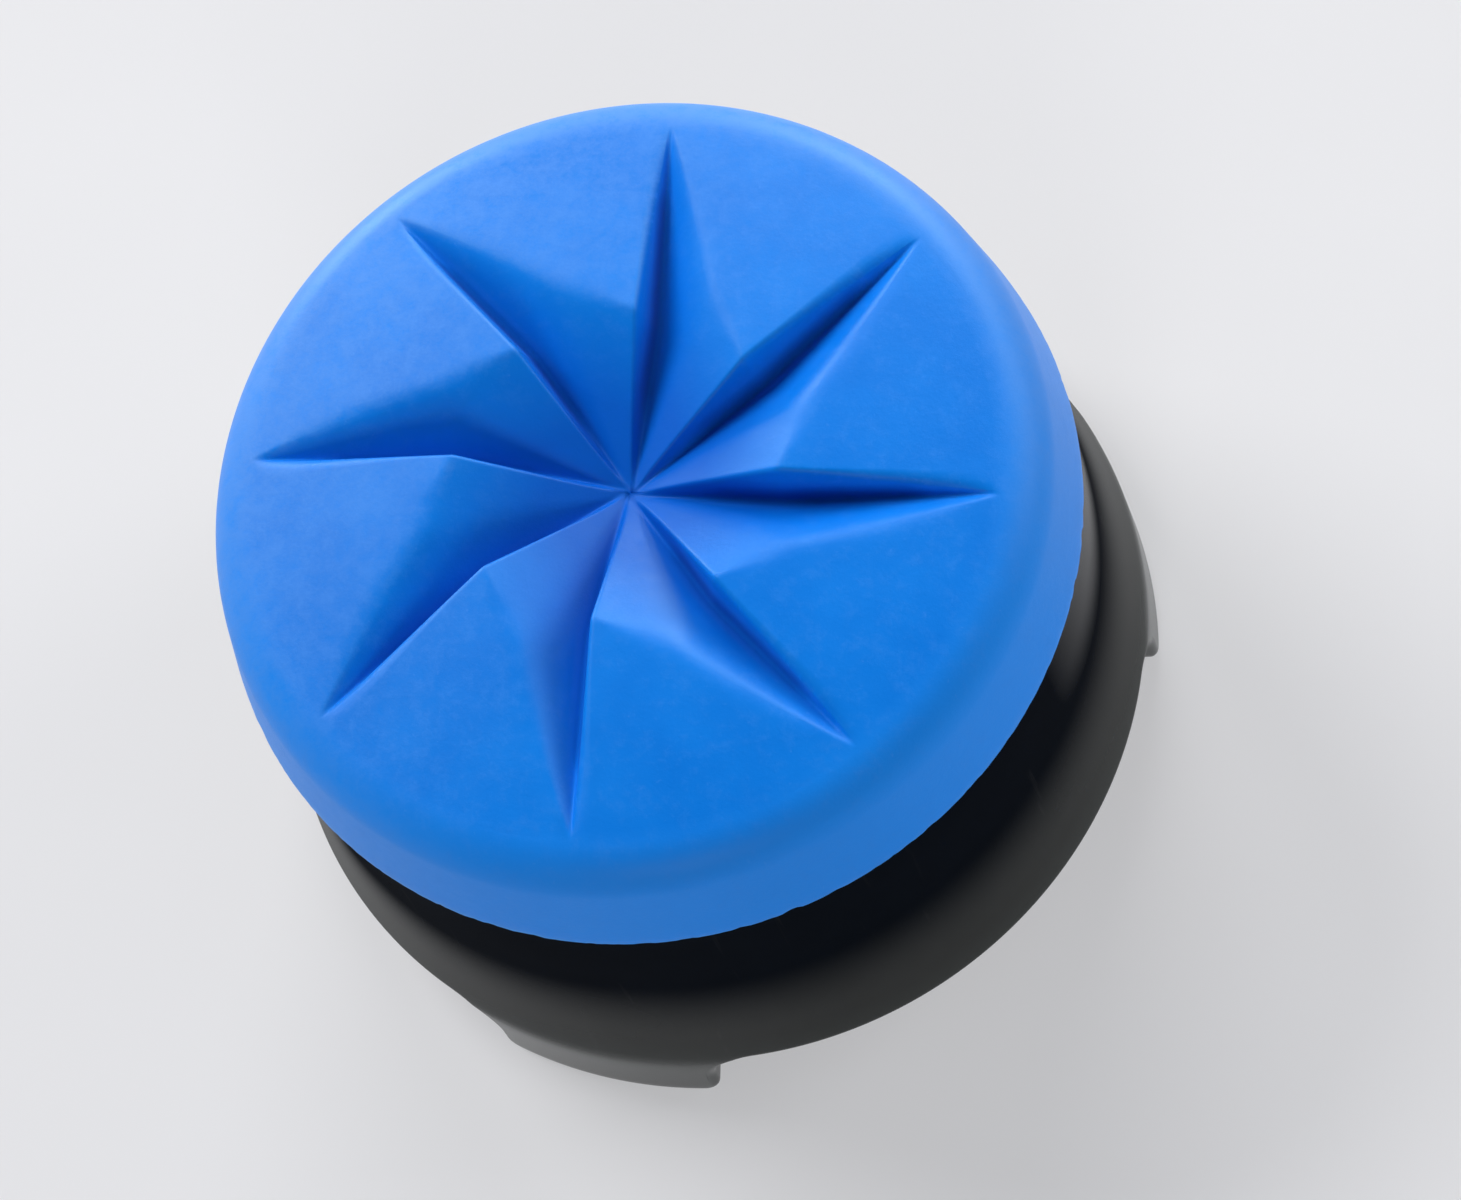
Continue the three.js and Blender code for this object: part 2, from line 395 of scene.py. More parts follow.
LONG_FACET, INNER_FACET, INNER_WALL, OUTER_WALL = tread_planes()


def line_angle(radius, near_radius, near_offset):
    """Angle at a radius on the line from a near corner to the groove's tip. Inside it is constant."""
    near_angle = math.atan2(near_offset, near_radius)
    share = np.clip((radius - near_radius) / (TIP_RADIUS - near_radius), 0, 1)
    slant = near_offset * (1 - share) / np.maximum(radius, LEAST_RADIUS)
    return np.where(radius < near_radius, near_angle, np.arcsin(np.clip(slant, -1, 1)))


def ridge_angle(radius):
    """Angle of the steep wall's upper edge."""
    return line_angle(radius, LAND_CORNER_RADIUS, LAND_CORNER_RADIUS * math.sin(LAND_CORNER_ANGLE))


def joined_high(first, second, reach):
    """The higher of two surfaces, filleted where they come closer than the reach."""
    near = np.clip(1 - np.abs(first - second) / reach, 0, 1)
    return np.maximum(first, second) + reach / 4 * near**2


def height_on(surface, across, along):
    """Height of a plane at local places."""
    return surface[0] + surface[1] * across + surface[2] * along


def sharp_height(across, along):
    """Height of the tread with sharp edges and filleted groove bottoms, at places in plan."""
    radius = np.hypot(across, along)
    ridge = ridge_angle(radius) - RIDGE_OVERLAP
    local = np.mod(np.arctan2(across, along) - ridge, SECTOR) + ridge
    place = radius * np.sin(local), radius * np.cos(local)
    wall = np.minimum(height_on(INNER_WALL, *place), height_on(OUTER_WALL, *place))
    facets = np.minimum(height_on(LONG_FACET, *place), height_on(INNER_FACET, *place))
    return np.minimum(dome(radius), joined_high(facets, wall, VALLEY_ROUND))


def crease_shade(across, along):
    """Share of painted shade: 1 along the grooves' bottoms, falling to 0 within a short way up both sides.
    """
    radius = np.hypot(across, along)
    ridge = ridge_angle(radius)
    local = np.mod(np.arctan2(across, along) - ridge, SECTOR) + ridge
    aside = radius * np.sin(local - line_angle(radius, BOTTOM_RADIUS, BOTTOM_OFFSET))
    near = np.clip(1 - np.where(aside < 0, -aside / CREASE_WALL, aside / CREASE_FACET), 0, 1)
    fade = np.clip((TIP_RADIUS - radius) / CREASE_TIP_FADE, 0, 1)
    fade *= np.clip((radius - CREASE_HUB_START) / CREASE_HUB_FADE, 0, 1)
    return near * near * (3 - 2 * near) * fade


def soft_height(across, along):
    """The tread with rounded edges: tight along the steep walls, wide between the facets and the dome."""
    radius = np.hypot(across, along)
    local = np.mod(np.arctan2(across, along) - ridge_angle(radius), SECTOR)
    away = radius * np.minimum(np.sin(local), np.sin(SECTOR - local))
    softness = np.clip(EDGE_SOFTNESS + SOFT_SPREAD * (away - SOFT_START), EDGE_SOFTNESS, FACET_SOFTNESS)
    total, weight = sharp_height(across, along), 1.0
    for band, (reach, share) in enumerate(BLUR_RINGS):
        for i in range(BLUR_STEPS):
            turn = 2 * math.pi * (i + 0.5 * (band % 2)) / BLUR_STEPS
            aside = softness * reach * math.cos(turn)
            ahead = softness * reach * math.sin(turn)
            total = total + share * sharp_height(across + aside, along + ahead)
            weight = weight + share
    return total / weight


def facet_edge_angle(radius):
    """Angle at which the long facet ends, at the inner facet or at the dome."""
    angles = np.linspace(EDGE_SEARCH_START, FACET_CORNER_ANGLE, EDGE_SEARCH_STEPS)
    level, across, along = LONG_FACET
    heights = level + across * radius * np.sin(angles) + along * radius * np.cos(angles)
    beyond = np.nonzero(heights > dome(radius))[0]
    return float(angles[beyond[0]]) if len(beyond) else FACET_CORNER_ANGLE


def column_angles(radius, looseness):
    """Clockwise angles of a ring's points, along the grooves' edges or, at looseness 1, evenly spread."""
    ridge = float(ridge_angle(radius))
    bottom = max(float(line_angle(radius, BOTTOM_RADIUS, BOTTOM_OFFSET)), ridge + LEAST_WALL_ANGLE)
    facet = max(facet_edge_angle(radius), bottom + LEAST_FACET_ANGLE)
    knots = np.array([0, WALL_COLUMNS, FACET_COLUMNS, COLUMNS])
    followed = np.array([ridge, bottom, facet, SECTOR + ridge])
    even = SECTOR * knots / COLUMNS
    sector = np.interp(np.arange(COLUMNS), knots, followed + looseness * (even - followed))
    return np.concatenate([sector + SECTOR * k for k in range(GROOVE_COUNT)])


def shoulder():
    """Centre of the rounding between dome and flank, and the angle at which the dome takes over."""
    inner = DOME_RADIUS - SHOULDER_ROUND
    height = TIP_HEIGHT
    for _ in range(SHOULDER_TRIES):
        radius = (PAD_RADIUS - (height - PAD_BOTTOM) * math.tan(FLANK_ANGLE)
                  - SHOULDER_ROUND / math.cos(FLANK_ANGLE))
        height = DOME_CENTRE + math.sqrt(inner**2 - radius**2)
    return (radius, height), math.pi / 2 - math.asin(radius / inner)


def pad_profile():
    """Profile below the domed face: shoulder, flank, lower edge, underside and stem."""
    centre, meeting = shoulder()
    stem = CUP_RADIUS - CLEARANCE
    edge = (PAD_RADIUS - PAD_LOWER_ROUND, PAD_BOTTOM + PAD_LOWER_ROUND)
    points = arc(centre, SHOULDER_ROUND, meeting, FLANK_ANGLE, steps=18)
    points += line(points[-1], (PAD_RADIUS, edge[1]), steps=12)
    points += arc(edge, PAD_LOWER_ROUND, 0, -math.pi / 2, steps=5)[1:]
    points += line(points[-1], (stem, PAD_BOTTOM), steps=3)
    points += line(points[-1], (stem, FLOOR_TOP), steps=4)
    points += line(points[-1], (POLE_RADIUS, FLOOR_TOP), steps=6)
    return points


def ring(radius, height, angles):
    """Points of one level ring at clockwise angles."""
    return np.stack([radius * np.sin(angles), radius * np.cos(angles), height + 0 * angles], axis=1)


def ragged(points):
    """Small nicks and flash along the pad's lower edge."""
    radius = np.hypot(points[:, 0], points[:, 1])
    reach = np.clip((radius - (PAD_RADIUS - RAGGED_WIDTH)) / RAGGED_FADE, 0, 1)
    reach *= np.clip(1 - (points[:, 2] - PAD_BOTTOM) / RAGGED_FADE, 0, 1)
    for i in np.nonzero(reach > 0)[0]:
        x, y, _ = points[i]
        turn = Vector((x / radius[i], y / radius[i], 0))
        wave = sum(noise.noise(turn * waves) * height for waves, height in RAGGED_WAVES)
        nick = max(0.0, noise.noise(turn * NICK_WAVES + NICK_SHIFT) - NICK_START) * NICK_DEPTH
        points[i, 2] += reach[i] * (wave + nick + RAGGED_LIFT)
        inset = RAGGED_INSET + RAGGED_NICK_SHARE * nick + RAGGED_WAVE_SHARE * abs(wave)
        points[i, :2] *= 1 - reach[i] * inset / PAD_RADIUS
    return points


def face_rows():
    """Rings of the domed face, from the hub out to the shoulder."""
    centre, meeting = shoulder()
    outer = centre[0] + SHOULDER_ROUND * math.cos(meeting)
    hub_radii = np.linspace(HUB_START, HUB_END, HUB_RINGS)
    face_radii = np.linspace(FACE_START, outer - FACE_GAP, FACE_RINGS)
    rows = []
    for radius in np.concatenate([hub_radii, face_radii]):
        looseness = float(np.clip((radius - TIP_RADIUS - TIP_MARGIN) / LOOSE_WIDTH, 0, 1))
        angles = column_angles(radius, looseness)
        across, along = radius * np.sin(angles), radius * np.cos(angles)
        rows.append(np.stack([across, along, soft_height(across, along)], axis=1))
    return rows


def flank_rows():
    """Rings from the shoulder down the flank and the stem to its foot."""
    rows = []
    for radius, height in pad_profile():
        looseness = 1.0
        if height > TIP_HEIGHT - LOOSE_DEPTH:
            looseness = float(np.clip((radius - TIP_RADIUS) / LOOSE_WIDTH, LEAST_LOOSENESS, 1))
        rows.append(ragged(ring(radius, height, column_angles(min(radius, PAD_RADIUS), looseness))))
    return rows


def key_profile():
    """Half section of one rubber key: its head in the base's pocket and its shaft up into the stem."""
    pocket_top = SEAT_HEIGHT + KEY_POCKET_DEPTH
    head, shaft = KEY_POCKET - CLEARANCE, KEY_HOLE - CLEARANCE
    corner = (head - KEY_HEAD_ROUND, KEY_BOTTOM + KEY_HEAD_ROUND)
    points = [(KEY_POLE_RADIUS, KEY_BOTTOM)]
    points += line(points[0], (corner[0], KEY_BOTTOM), steps=3)
    points += arc(corner, KEY_HEAD_ROUND, -math.pi / 2, 0, steps=4)[1:]
    return points + [(head, pocket_top), (shaft, pocket_top), (shaft, FLOOR_TOP + KEY_JOIN_DEPTH)]


def make_pad():
    """The blue rubber pad with its tread, stem and keys."""
    points, faces = closed_rows(face_rows() + flank_rows())
    piece = mesh_object("rubber_pad", points, faces)
    shares = crease_shade(points[:, 0], points[:, 1])
    shares[points[:, 2] < HUB - CREASE_DEPTH] = 0
    piece.data.attributes.new("crease_shade", "FLOAT", "POINT").data.foreach_set("value", shares)
    cut_or_join(piece, posts("keys", key_profile()), "UNION")
    shade(piece, TREAD_SMOOTH_ANGLE)
    return piece


# Clip base

def lower_edge():
    """The base's lower edge unrolled at the rim's radius: tab feet, upright tab sides and rounded arches."""
    pitch = 2 * math.pi * RIM_RADIUS / TAB_COUNT
    half_tab = math.radians(TAB_ANGLE) / 2 * RIM_RADIUS
    side = half_tab + ARCH_CORNER
    arch = RIM_HEIGHT - ARCH_CORNER
    corners = []
    for i in range(TAB_COUNT):
        middle = math.radians(FIRST_TAB_AZIMUTH) * RIM_RADIUS + pitch * i
        left_foot = (middle - half_tab + FOOT_CORNER, FOOT_CORNER)
        right_foot = (middle + half_tab - FOOT_CORNER, FOOT_CORNER)
        corners.append((middle - side, RIM_HEIGHT))
        corners += arc((middle - side, arch), ARCH_CORNER, math.pi / 2, 0, steps=9)[1:]
        corners += arc(left_foot, FOOT_CORNER, math.pi, 1.5 * math.pi, steps=7)
        corners += arc(right_foot, FOOT_CORNER, 1.5 * math.pi, 2 * math.pi, steps=7)
        corners += arc((middle + side, arch), ARCH_CORNER, math.pi, math.pi / 2, steps=9)
    corners.append((corners[0][0] + 2 * math.pi * RIM_RADIUS, RIM_HEIGHT))
    corners = np.array(corners)
    travelled = np.concatenate([[0], np.cumsum(np.hypot(*np.diff(corners, axis=0).T))])
    steps = int(travelled[-1] / COLUMN_STEP)
    stops = np.linspace(0, travelled[-1], steps, endpoint=False)
    return np.stack([np.interp(stops, travelled, values) for values in corners.T], axis=1)


def around(values, turn, window):
    """Moving average of a ring of values that grow by one turn per round."""
    padded = np.concatenate([values[-window:] - turn, values, values[:window] + turn])
    kernel = np.ones(2 * window + 1) / (2 * window + 1)
    return np.convolve(padded, kernel, "valid")


def outer_radius(height):
    """The outer wall: upright on the tabs, then a hollow flare that ends upright at the waist."""
    width, rise = RIM_RADIUS - WAIST_RADIUS, WAIST_HEIGHT - RIM_HEIGHT
    flare = (width**2 + rise**2) / (2 * width)
    climb = np.clip(WAIST_HEIGHT - height, 0, rise)
    return np.minimum(WAIST_RADIUS + flare - np.sqrt(flare**2 - climb**2), RIM_RADIUS)


def inner_radius(height):
    """The socket's wall with its snap bead."""
    stations = [0, BEAD_HEIGHT - BEAD_RISE / 4, BEAD_HEIGHT + BEAD_RISE / 4, BEAD_HEIGHT + BEAD_RISE]
    reach = [0, BEAD_REACH, BEAD_REACH, 0]
    return SOCKET_RADIUS - np.interp(height, stations, reach)


def wall_ring(travel, height, radius):
    """Points of one ring of the base, from places along the unrolled wall."""
    angle = travel / RIM_RADIUS
    return np.stack([radius * np.cos(angle), radius * np.sin(angle), height + 0 * angle], axis=1)


def inward_normals(edge, turn):
    """Directions on the unrolled wall that point from its lower edge up into the wall."""
    ahead = np.roll(edge, -1, axis=0)
    behind = np.roll(edge, 1, axis=0)
    ahead[-1, 0] += turn
    behind[0, 0] -= turn
    along = ahead - behind
    along /= np.hypot(*along.T)[:, None]
    return np.stack([-along[:, 1], along[:, 0]], axis=1)


def strip_rows(travel, target, radius_at, shares):
    """Rings of a wall from the strip's level top, share 0, to a line near the lower edge, share 1."""
    rows = []
    for share in shares:
        x = travel + (target[:, 0] - travel) * share
        z = STRIP_TOP + (target[:, 1] - STRIP_TOP) * share
        rows.append(wall_ring(x, z, radius_at(z)))
    return rows


def edge_rows(edge, inward, size, radius_at, side, angles):
    """Rings of the rounding between a wall and the flat lower edge, with side -1 outside and 1 inside."""
    rows = []
    for a in angles:
        x, z = (edge + inward * size * (1 - math.sin(a))).T
        rows.append(wall_ring(x, z, radius_at(z) + side * size * (1 - math.cos(a))))
    return rows


def cup_profile():
    """Profile from the cup's floor up to the base's top and down the flare to the strip along the edge."""
    corner = (CUP_RADIUS - CUP_CORNER, FLOOR_TOP + CUP_CORNER)
    top = (WAIST_RADIUS - BASE_TOP_ROUND, PAD_BOTTOM - BASE_TOP_ROUND)
    cup_floor = np.linspace(POLE_RADIUS, CUP_RADIUS - CUP_FLAT_GAP, num=5)
    points = [(radius, FLOOR_TOP) for radius in cup_floor]
    points += arc(corner, CUP_CORNER, -math.pi / 2, 0, steps=3)
    points += [(CUP_RADIUS, PAD_BOTTOM - CUP_TOP_LOOP), (CUP_RADIUS, PAD_BOTTOM)]
    points += arc(top, BASE_TOP_ROUND, math.pi / 2, 0, steps=5)
    heights = np.linspace(PAD_BOTTOM - FLARE_GAP, STRIP_TOP, num=24)
    return points + [(outer_radius(height), height) for height in heights]


def socket_profile():
    """Profile from the strip up the socket's wall, round its corner and over the seat to the middle."""
    corner = (SOCKET_RADIUS - SEAT_CORNER, SEAT_HEIGHT - SEAT_CORNER)
    points = [(SOCKET_RADIUS, height) for height in np.linspace(STRIP_TOP, corner[1], num=4)[1:]]
    points += arc(corner, SEAT_CORNER, 0, math.pi / 2, steps=5)[1:]
    seat = np.linspace(SOCKET_RADIUS - SEAT_GAP, POLE_RADIUS, num=6)
    return points + [(radius, SEAT_HEIGHT) for radius in seat]


def base_rows():
    """Rings of the whole base: cup, top, outer wall, lower edge, socket wall and seat."""
    turn = 2 * math.pi * RIM_RADIUS
    edge = lower_edge()
    inward = inward_normals(edge, turn)
    travel = around(edge[:, 0], turn, int(SMOOTH_REACH / COLUMN_STEP))
    outer_line = edge + inward * OUTER_EDGE_ROUND
    inner_line = edge + inward * INNER_EDGE_ROUND
    outer_flat = outer_radius(edge[:, 1]) - OUTER_EDGE_ROUND
    inner_flat = inner_radius(edge[:, 1]) + INNER_EDGE_ROUND
    outer_turns = np.linspace(0, math.pi / 2, num=7)[1:]
    inner_turns = np.linspace(math.pi / 2, 0, num=5)[1:]
    rows = [wall_ring(travel, height, radius) for radius, height in cup_profile()]
    rows += strip_rows(travel, outer_line, outer_radius, np.linspace(0, 1, num=17)[1:])
    rows += edge_rows(edge, inward, OUTER_EDGE_ROUND, outer_radius, -1, outer_turns)
    rows += [wall_ring(*edge.T, outer_flat + (inner_flat - outer_flat) * share) for share in FLAT_SHARES]
    rows += edge_rows(edge, inward, INNER_EDGE_ROUND, inner_radius, 1, inner_turns)
    rows += strip_rows(travel, inner_line, inner_radius, np.linspace(1, 0, num=25)[1:])
    return rows + [wall_ring(travel, height, radius) for radius, height in socket_profile()]


def key_hole_profile():
    """Half section of the tool that cuts a key's hole and its pocket, with a bevel at the pocket's mouth."""
    pocket_top = SEAT_HEIGHT + KEY_POCKET_DEPTH
    below, above = SEAT_HEIGHT - KEY_TOOL_OVERLAP, FLOOR_TOP + KEY_TOOL_OVERLAP
    mouth = KEY_POCKET + KEY_MOUTH_BEVEL
    return [(KEY_POLE_RADIUS, below), (mouth + KEY_TOOL_OVERLAP, below), (mouth, SEAT_HEIGHT),
            (KEY_POCKET, SEAT_HEIGHT + KEY_MOUTH_BEVEL), (KEY_POCKET, pocket_top),
            (KEY_HOLE, pocket_top), (KEY_HOLE, above), (KEY_POLE_RADIUS, above)]


def make_base():
    """The black base with its socket, cup, tabs and key holes."""
    points, faces = closed_rows(base_rows())
    piece = mesh_object("clip_shell", points, [face[::-1] for face in faces])
    cut_or_join(piece, posts("key_holes", key_hole_profile()), "DIFFERENCE")
    shade(piece)
    return piece


# Materials

class Nodes:
    """Short way to add shader nodes to a material."""

    def __init__(self, name):
        """A new material with one shader, and the place of each point to work from."""
        self.material = bpy.data.materials.new(name)
        self.material.use_nodes = True
        self.tree = self.material.node_tree
        self.tree.nodes.clear()
        self.shader = self.add("ShaderNodeBsdfPrincipled")
        output = self.add("ShaderNodeOutputMaterial")
        self.link(self.shader.outputs["BSDF"], output.inputs["Surface"])
        self.place = self.add("ShaderNodeNewGeometry").outputs["Position"]

    def add(self, kind, **settings):
        """A new node with its settings."""
        node = self.tree.nodes.new(kind)
        for key, value in settings.items():
            setattr(node, key, value)
        return node

    def link(self, source, target):
        """A link between two sockets."""
        self.tree.links.new(source, target)

    def grain(self, size, detail=4.0, rough=0.6, stretch=None):
        """Noise with features of the given size in millimetres."""
        texture = self.add("ShaderNodeTexNoise")
        texture.inputs["Scale"].default_value = 1 / (size * MM)
        texture.inputs["Detail"].default_value = detail
        texture.inputs["Roughness"].default_value = rough
        source = self.place
        if stretch:
            mapping = self.add("ShaderNodeMapping")
            mapping.inputs["Scale"].default_value = stretch
            self.link(source, mapping.inputs["Vector"])
            source = mapping.outputs["Vector"]
        self.link(source, texture.inputs["Vector"])
        return texture.outputs["Fac"]

    def ramp(self, source, low, high, start, stop):
        """Runs from start to stop while the source goes from low to high, and stays level outside."""
        node = self.add("ShaderNodeMapRange")
        node.clamp = True
        for key, value in (("From Min", low), ("From Max", high), ("To Min", start), ("To Max", stop)):
            node.inputs[key].default_value = value
        self.link(source, node.inputs["Value"])
        return node.outputs["Result"]

    def height(self, start, stop):
        """A share that grows softly from 0 to 1 between two heights in millimetres."""
        node = self.add("ShaderNodeSeparateXYZ")
        self.link(self.place, node.inputs[0])
        share = self.ramp(node.outputs["Z"], start * MM, stop * MM, 0, 1)
        share.node.interpolation_type = "SMOOTHSTEP"
        return share

    def side(self, azimuth, start, stop):
        """A share that grows from 0 to 1 over a stretch, in millimetres, that runs out toward an azimuth."""
        node = self.add("ShaderNodeVectorMath", operation="DOT_PRODUCT")
        self.link(self.place, node.inputs[0])
        node.inputs[1].default_value = (math.cos(azimuth), math.sin(azimuth), 0)
        return self.ramp(node.outputs["Value"], start * MM, stop * MM, 0, 1)

    def depth(self):
        """How far a point lies below the pad's unbroken dome, in millimetres."""
        node = self.add("ShaderNodeVectorMath", operation="DISTANCE")
        self.link(self.place, node.inputs[0])
        node.inputs[1].default_value = (0, 0, DOME_CENTRE * MM)
        deepest = DOME_RADIUS - DEPTH_SPAN
        below = self.ramp(node.outputs["Value"], DOME_RADIUS * MM, deepest * MM, 0, DEPTH_SPAN)
        return self.math("MULTIPLY", below, self.reach(TIP_RADIUS, TIP_RADIUS - DEPTH_RIM_FADE))

    def stored(self, name):
        """A value that the mesh keeps at its points."""
        return self.add("ShaderNodeAttribute", attribute_name=name).outputs["Fac"]

    def reach(self, start, stop):
        """A share that grows from 0 to 1 between two distances from the axis, in millimetres."""
        flat = self.add("ShaderNodeVectorMath", operation="MULTIPLY")
        self.link(self.place, flat.inputs[0])
        flat.inputs[1].default_value = (1, 1, 0)
        length = self.add("ShaderNodeVectorMath", operation="LENGTH")
        self.link(flat.outputs[0], length.inputs[0])
        return self.ramp(length.outputs["Value"], start * MM, stop * MM, 0, 1)

    def mix(self, factor, first, second):
        """A blend of two colours, each a tuple or a socket."""
        node = self.add("ShaderNodeMix", data_type="RGBA")
        self.link(factor, node.inputs["Factor"])
        for socket, value in ((node.inputs[6], first), (node.inputs[7], second)):
            if isinstance(value, tuple):
                socket.default_value = (*value, 1)
            else:
                self.link(value, socket)
        return node.outputs[2]

    def math(self, operation, first, second):
        """Arithmetic on two values, each a float or a socket."""
        node = self.add("ShaderNodeMath", operation=operation)
        for socket, value in zip(node.inputs, (first, second)):
            if isinstance(value, float):
                socket.default_value = value
            else:
                self.link(value, socket)
        return node.outputs[0]

    def bump(self, height, distance, strength=1.0, under=None):
        """Relief of the given depth in millimetres, on top of another relief if there is one."""
        node = self.add("ShaderNodeBump")
        node.inputs["Distance"].default_value = distance * MM
        node.inputs["Strength"].default_value = strength
        self.link(height, node.inputs["Height"])
        if under:
            self.link(under, node.inputs["Normal"])
        return node.outputs["Normal"]


def rubber():
    """Blue rubber: cloudy, with a painted highlight toward one side of the face and another on the shoulder,
    paler on the flank as painted light, and deeper in the grooves and their bottoms as painted shade.
    """
    m = Nodes("blue_rubber")
    cloud = m.grain(size=3.2, detail=3)
    mottle = m.grain(size=0.5, detail=8, rough=0.78)
    specks = m.grain(size=0.22, detail=5, rough=0.7)
    depth = m.depth()
    flank = m.reach(FLANK_START, FLANK_FULL)
    crease_shade_share = m.stored("crease_shade")
    on_face = m.ramp(depth, 0.01, 0.14, 1, 0)
    # Painted highlight: the face paler toward one side, broken up by the mottle.
    face_highlight = m.math("MULTIPLY", m.side(FACE_HIGHLIGHT_AZIMUTH, *FACE_HIGHLIGHT_STRETCH), on_face)
    face_highlight = m.math("MULTIPLY", face_highlight, m.ramp(mottle, 0.35, 0.65, 0.05, 0.45))
    # Painted highlight: the shoulder and flank paler toward one side, broken up by the mottle.
    shoulder_highlight = m.math("MULTIPLY", m.side(SHOULDER_HIGHLIGHT_AZIMUTH, *SHOULDER_HIGHLIGHT_STRETCH), flank)
    shoulder_highlight = m.math("MULTIPLY", shoulder_highlight, m.ramp(mottle, 0.35, 0.65, 0.4, 1.0))

    colour = m.mix(m.ramp(cloud, 0.35, 0.65, 0, 1), *RUBBER_CLOUDS)
    # Painted light: the flank paler than the face.
    colour = m.mix(flank, colour, RUBBER_FLANK_LIGHT)
    colour = m.mix(face_highlight, colour, RUBBER_FACE_HIGHLIGHT)
    colour = m.mix(shoulder_highlight, colour, RUBBER_SHOULDER_HIGHLIGHT)
    colour = m.mix(m.ramp(mottle, 0.5, 0.7, 0, 0.4), colour, RUBBER_MOTTLE)
    colour = m.mix(m.ramp(specks, 0.64, 0.78, 0, 0.25), colour, RUBBER_SPECKS)
    # Painted shade: darker the deeper the tread lies below the dome.
    colour = m.mix(m.ramp(depth, 0.1, 1.4, 0, 1), colour, RUBBER_GROOVE_SHADE)
    # Painted shade darkening the grooves' bottoms.
    colour = m.mix(m.ramp(crease_shade_share, 0, 1, 0, 0.15), colour, RUBBER_CREASE_SHADE)
    colour = m.mix(m.ramp(crease_shade_share, 0.7, 1, 0, 0.45), colour, RUBBER_CREASE_SHADE)
    m.link(colour, m.shader.inputs["Base Color"])

    smooth, dusty, matt = RUBBER_ROUGHNESS
    roughness = m.math("MAXIMUM", m.ramp(mottle, 0.3, 0.7, smooth, dusty),
                       m.ramp(crease_shade_share, 0.3, 0.8, smooth, matt))
    m.link(roughness, m.shader.inputs["Roughness"])
    fine = m.bump(m.grain(size=0.09, detail=3, rough=0.6), distance=0.006, strength=0.5)
    m.link(m.bump(mottle, distance=0.018, strength=0.6, under=fine), m.shader.inputs["Normal"])
    m.shader.inputs["Specular IOR Level"].default_value = RUBBER_GLOSS
    return m.material


def black_plastic():
    """Black plastic: deep black at the waist as painted shade under the pad, greyer down the flare and on
    the tabs' feet as painted reflection of the pale surroundings, and glossier there.
    """
    m = Nodes("black_plastic")
    cloud = m.grain(size=4.0, detail=3)
    cloud_share = m.ramp(cloud, 0.3, 0.7, 0, 1)
    scratches = m.grain(size=0.5, detail=3, rough=0.6, stretch=(1, 1, 0.06))
    flare = m.height(*FLARE_SPAN)
    feet = m.height(*FEET_SPAN)

    # Painted shade at the waist, painted reflection down the flare and on the feet.
    colour = m.mix(cloud_share, *PLASTIC_WAIST_SHADE)
    colour = m.mix(flare, colour, m.mix(cloud_share, *PLASTIC_FLARE_REFLECTION))
    colour = m.mix(feet, colour, PLASTIC_FEET_REFLECTION)
    colour = m.mix(m.ramp(scratches, 0.66, 0.76, 0, 0.16), colour, PLASTIC_SCRATCHES)
    m.link(colour, m.shader.inputs["Base Color"])
    m.link(m.ramp(cloud, 0.3, 0.7, *PLASTIC_ROUGHNESS), m.shader.inputs["Roughness"])
    fine = m.bump(m.grain(size=0.14, detail=3, rough=0.6), distance=0.004, strength=0.5)
    m.link(fine, m.shader.inputs["Normal"])

    streak = m.math("MULTIPLY", m.side(POLISH_AZIMUTH, *POLISH_STRETCH), m.height(*POLISH_SPAN))
    polish = m.math("MAXIMUM", m.ramp(flare, 0, 1, *FLARE_COAT), m.math("MULTIPLY", streak, POLISH_COAT))
    m.link(m.math("MAXIMUM", polish, feet), m.shader.inputs["Coat Weight"])
    m.shader.inputs["Coat Roughness"].default_value = PLASTIC_COAT_ROUGHNESS
    m.shader.inputs["Specular IOR Level"].default_value = 0.0
    return m.material


def shown_rays(tree):
    """1 for the rays that show the background: from the camera, in a reflection or through a clear piece."""
    rays = tree.nodes.new("ShaderNodeLightPath")
    shown = rays.outputs["Is Camera Ray"]
    for kind in ("Is Glossy Ray", "Is Transmission Ray"):
        either = tree.nodes.new("ShaderNodeMath")
        either.operation = "MAXIMUM"
        tree.links.new(shown, either.inputs[0])
        tree.links.new(rays.outputs[kind], either.inputs[1])
        shown = either.outputs[0]
    return shown


def floor_material():
    """A pale matt floor with a little glow of its own where the picture or a reflection shows it."""
    m = Nodes("pale_floor")
    cloud = m.grain(size=18, detail=2)
    m.link(m.mix(m.ramp(cloud, 0.3, 0.7, 0, 1), *FLOOR_CLOUDS), m.shader.inputs["Base Color"])
    m.shader.inputs["Roughness"].default_value = FLOOR_ROUGHNESS
    m.shader.inputs["Specular IOR Level"].default_value = 0.0
    glow = m.add("ShaderNodeEmission")
    glow.inputs["Color"].default_value = (*GLOW_COLOUR, 1)
    blend = m.add("ShaderNodeMixShader")
    m.link(m.math("MULTIPLY", shown_rays(m.tree), FLOOR_GLOW), blend.inputs[0])
    m.link(m.shader.outputs["BSDF"], blend.inputs[1])
    m.link(glow.outputs[0], blend.inputs[2])
    m.link(blend.outputs[0], m.tree.nodes["Material Output"].inputs["Surface"])
    return m.material


# Stage

def make_floor():
    """The level floor under the tabs' feet."""
    sides = ((-1, -1), (1, -1), (1, 1), (-1, 1))
    points = [(x * FLOOR_HALF, y * FLOOR_HALF, FOOT_HEIGHT) for x, y in sides]
    floor = mesh_object("floor", points, [(0, 1, 2, 3)])
    floor.data.materials.append(floor_material())


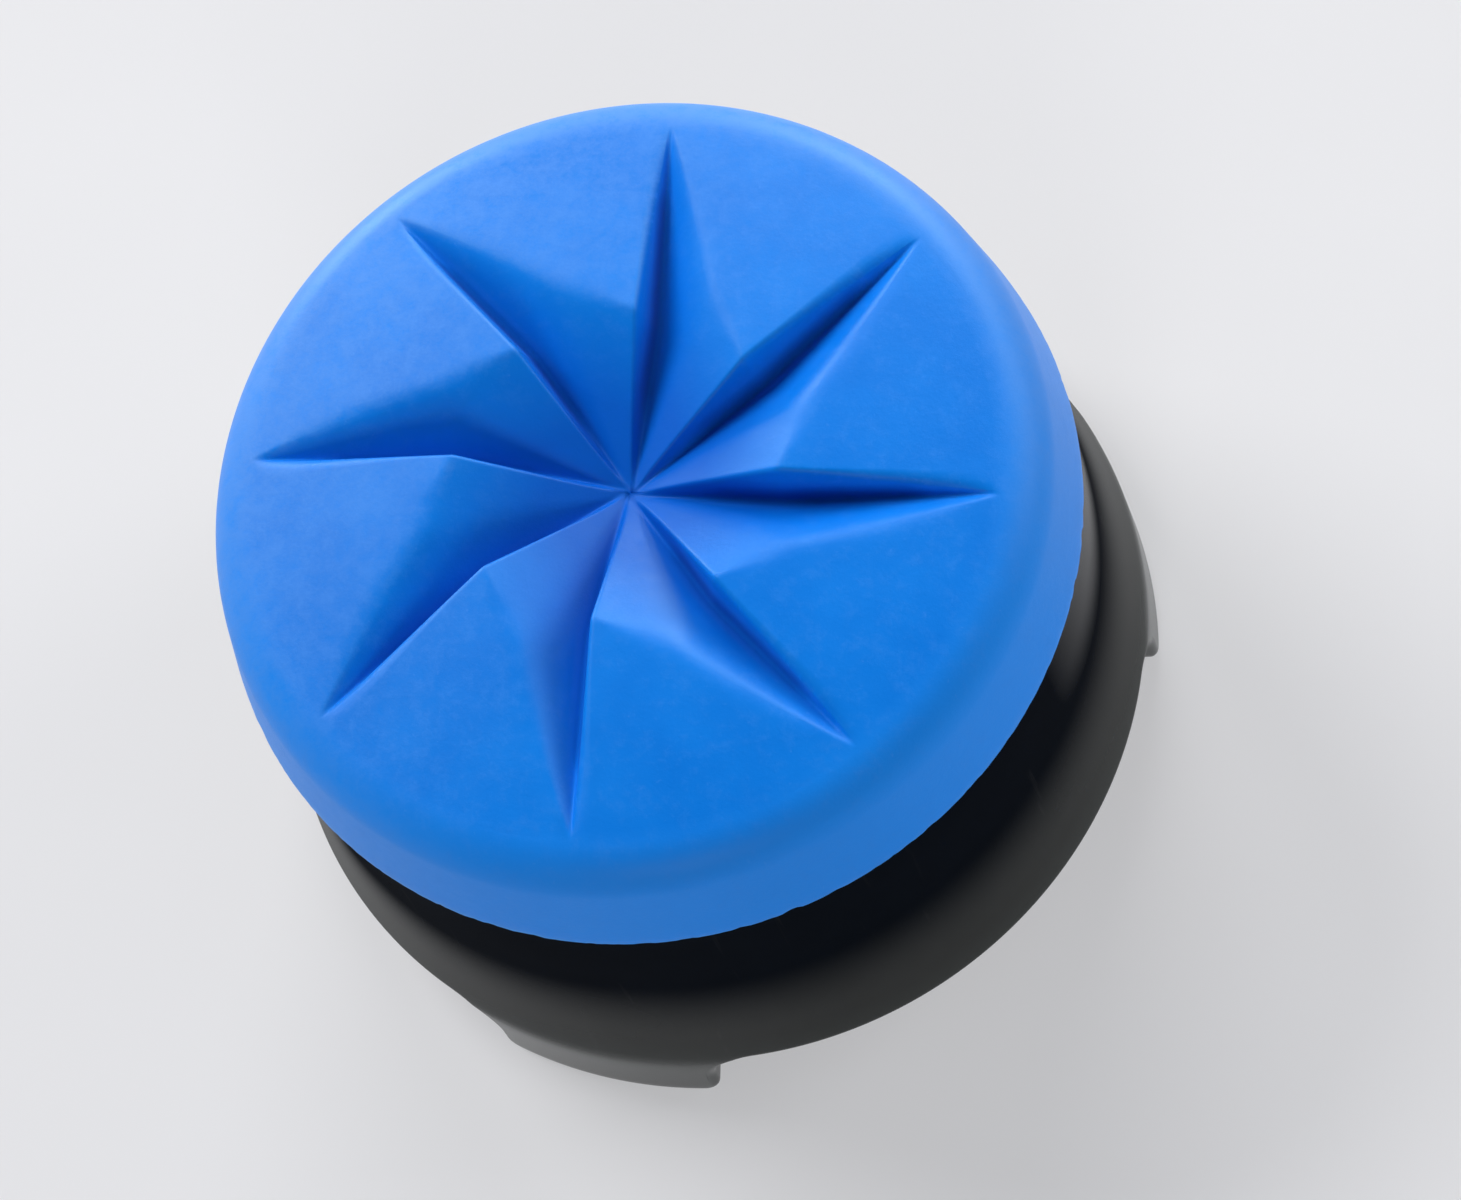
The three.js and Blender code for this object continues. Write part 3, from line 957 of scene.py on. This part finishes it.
def area_light(name, bearing, elevation, distance, size, power, gloss_only=False):
    """A round soft lamp that looks at the grip. Its bearing is counted in the picture, from the right."""
    right, up = PICTURE_AXES
    level = math.cos(math.radians(bearing)) * right + math.sin(math.radians(bearing)) * up
    level.z = 0
    climb = math.radians(elevation)
    direction = math.cos(climb) * level.normalized() + math.sin(climb) * Vector((0, 0, 1))
    data = bpy.data.lights.new(name, "AREA")
    data.shape = "DISK"
    data.size = size * MM
    data.energy = power
    lamp = bpy.data.objects.new(name, data)
    lamp.visible_camera = False
    if gloss_only:
        lamp.visible_diffuse = False
        data.color = WINDOW_COLOUR
    target = Vector((0, 0, TIP_HEIGHT * MM))
    lamp.location = target + direction * distance * MM
    lamp.rotation_euler = (target - lamp.location).to_track_quat("-Z", "Y").to_euler()
    bpy.context.scene.collection.objects.link(lamp)


def make_world():
    """Dim light all round, and white where the picture, a reflection or a clear piece shows it."""
    world = bpy.data.worlds.new("studio")
    bpy.context.scene.world = world
    world.use_nodes = True
    tree = world.node_tree
    tree.nodes.clear()
    ambient = tree.nodes.new("ShaderNodeBackground")
    ambient.inputs["Color"].default_value = (*AMBIENT_COLOUR, 1)
    ambient.inputs["Strength"].default_value = AMBIENT
    white = tree.nodes.new("ShaderNodeBackground")
    white.inputs["Color"].default_value = (1, 1, 1, 1)
    mix = tree.nodes.new("ShaderNodeMixShader")
    output = tree.nodes.new("ShaderNodeOutputWorld")
    tree.links.new(shown_rays(tree), mix.inputs[0])
    tree.links.new(ambient.outputs[0], mix.inputs[1])
    tree.links.new(white.outputs[0], mix.inputs[2])
    tree.links.new(mix.outputs[0], output.inputs["Surface"])


def dress(piece, node, material):
    """Gives a piece its material, and puts it in the place of its node."""
    piece.data.materials.clear()
    piece.data.materials.append(material)
    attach(piece, "root")
    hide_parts(node)


# The scene

PICTURE_AXES = make_camera()
dress(make_pad(), "grip_pad", rubber())
dress(make_base(), "clip_base", black_plastic())
make_floor()
for name, lamp in LAMPS.items():
    area_light(name, *lamp)
for name, window in WINDOWS.items():
    area_light(name, *window, gloss_only=True)
make_world()
bpy.context.scene.view_settings.view_transform = "Standard"
